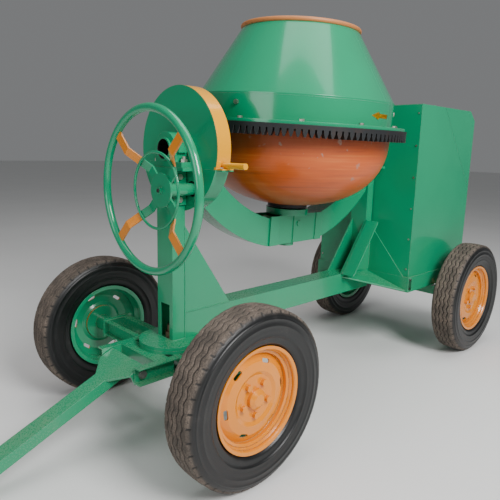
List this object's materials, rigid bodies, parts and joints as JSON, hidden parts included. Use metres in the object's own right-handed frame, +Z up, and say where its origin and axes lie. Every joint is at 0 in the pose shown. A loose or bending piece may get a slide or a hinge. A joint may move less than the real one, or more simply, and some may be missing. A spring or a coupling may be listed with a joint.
{
  "type": "concrete mixer",
  "caption": "Towable concrete mixer: a tilting drum in a yoke on a four-wheel chassis, with a handwheel tilt gear, ring gear drive, engine cabinet and drawbar.",
  "frame": {"origin": "on the ground under the middle of the whole machine, tow eye to rear tyres", "axes": "+X forward along the drawbar, +Y to the machine's left, +Z up"},
  "size_m": [3.572, 1.322, 1.9697],
  "materials": {
    "green_enamel": "glossy sprayed enamel",
    "orange_enamel": "glossy sprayed enamel",
    "dull_orange_enamel": "semi-gloss enamel, weathered",
    "gear_iron": "dark cast, machined teeth",
    "tyre_rubber": "dusty tread, satin sidewall",
    "bare_steel": "turned steel",
    "plated_bolts": "zinc plated",
    "belt_rubber": "matte",
    "engine_paint": "satin enamel",
    "cast_fins": "sand cast",
    "silencer_steel": "heat-darkened"
  },
  "bodies": {
    "chassis": {"spine_beam": "green_enamel", "front_post": "green_enamel", "rear_post": "green_enamel", "frame_gussets": "green_enamel", "engine_base": "green_enamel", "cabinet_front": "green_enamel", "cabinet_sides": "green_enamel", "cabinet_rear": "green_enamel", "cabinet_roof": "green_enamel", "hood_hinges": "bare_steel", "engine_block": "engine_paint", "cylinder_head": "cast_fins", "fuel_tank": "engine_paint", "exhaust_silencer": "silencer_steel", "v_belts": "belt_rubber", "plummer_blocks": "green_enamel", "frame_bolts": "plated_bolts", "handwheel_bearing": "green_enamel", "guard_lower": "green_enamel", "guard_upper": "green_enamel", "guard_handle": "orange_enamel", "rear_axle": "green_enamel", "turntable_upper": "green_enamel", "king_pin": "bare_steel"},
    "hood": {"hood_cover": "green_enamel", "hood_handle": "green_enamel"},
    "front_axle": {"turntable_lower": "green_enamel", "axle_rails": "green_enamel", "front_axle_bar": "green_enamel", "tow_fork": "green_enamel", "drawbar_pin": "bare_steel"},
    "drawbar": {"drawbar": "green_enamel", "tow_eye": "bare_steel"},
    "yoke": {"yoke_frame": "green_enamel", "yoke_bearing_box": "green_enamel", "trunnion_pipes": "bare_steel", "tilt_gear": "gear_iron"},
    "drum": {"drum_bowl": "dull_orange_enamel", "drum_band": "green_enamel", "drum_cone": "green_enamel", "mouth_ring": "dull_orange_enamel", "ring_gear": "gear_iron", "drum_bolts": "plated_bolts", "mixing_blades": "bare_steel", "drum_spindle": "bare_steel"},
    "drive_shaft": {"drive_pinion": "gear_iron", "drive_pulley": "gear_iron"},
    "crankshaft": {"engine_flywheel": "gear_iron"},
    "handwheel": {"handwheel_rim": "green_enamel", "handwheel_spokes": "green_enamel", "handwheel_hub": "green_enamel", "tilt_pinion": "gear_iron"},
    "wheel_front_left": {"tyre_front_left": "tyre_rubber", "rim_front_left": "orange_enamel"},
    "wheel_front_right": {"tyre_front_right": "tyre_rubber", "rim_front_right": "orange_enamel"},
    "wheel_rear_left": {"tyre_rear_left": "tyre_rubber", "rim_rear_left": "orange_enamel"},
    "wheel_rear_right": {"tyre_rear_right": "tyre_rubber", "rim_rear_right": "orange_enamel"}
  },
  "joints": [
    {"name": "steer", "type": "hinge", "parent": "chassis", "child": "front_axle", "pos_m": [0.69449, 0, 0.424], "axis": [0, 0, 1], "range_deg": [-40, 40]},
    {"name": "drawbar_pivot", "type": "hinge", "parent": "front_axle", "child": "drawbar", "pos_m": [0.94649, 0, 0.372], "axis": [0, 1, 0], "range_deg": [-70, 0]},
    {"name": "yoke_tilt", "type": "hinge", "parent": "chassis", "child": "yoke", "pos_m": [-0.11851, 0, 1.318], "axis": [1, 0, 0], "range_deg": [-115, 120]},
    {"name": "handwheel_turn", "type": "hinge", "parent": "chassis", "child": "handwheel", "pos_m": [0.88049, 0.105, 1.14661], "axis": [1, 0, 0], "range_deg": [-420, 420]},
    {"name": "drum_spin", "type": "hinge", "parent": "yoke", "child": "drum", "pos_m": [-0.11851, 0, 1.318], "axis": [0, 0.0511, 0.9987], "continuous": true},
    {"name": "drive_shaft_spin", "type": "hinge", "parent": "yoke", "child": "drive_shaft", "pos_m": [-0.71851, 0, 1.318], "axis": [1, 0, 0], "continuous": true},
    {"name": "crankshaft_spin", "type": "hinge", "parent": "chassis", "child": "crankshaft", "pos_m": [-0.97851, 0, 0.86], "axis": [1, 0, 0], "continuous": true},
    {"name": "hood_lift", "type": "hinge", "parent": "chassis", "child": "hood", "pos_m": [-1.18476, 0, 1.625], "axis": [0, 1, 0], "range_deg": [0, 75]},
    {"name": "spin_front_left", "type": "hinge", "parent": "front_axle", "child": "wheel_front_left", "pos_m": [0.73149, 0.578, 0.3675], "axis": [0, 1, 0], "continuous": true},
    {"name": "spin_front_right", "type": "hinge", "parent": "front_axle", "child": "wheel_front_right", "pos_m": [0.73149, -0.578, 0.3675], "axis": [0, 1, 0], "continuous": true},
    {"name": "spin_rear_left", "type": "hinge", "parent": "chassis", "child": "wheel_rear_left", "pos_m": [-1.41851, 0.507, 0.3675], "axis": [0, 1, 0], "continuous": true},
    {"name": "spin_rear_right", "type": "hinge", "parent": "chassis", "child": "wheel_rear_right", "pos_m": [-1.41851, -0.507, 0.3675], "axis": [0, 1, 0], "continuous": true}
  ],
  "couplings": [
    {"joint": "handwheel_turn", "follows": "yoke_tilt", "ratio": -3.4667},
    {"joint": "drive_shaft_spin", "follows": "drum_spin", "ratio": 6},
    {"joint": "crankshaft_spin", "follows": "drum_spin", "ratio": 14.167}
  ]
}
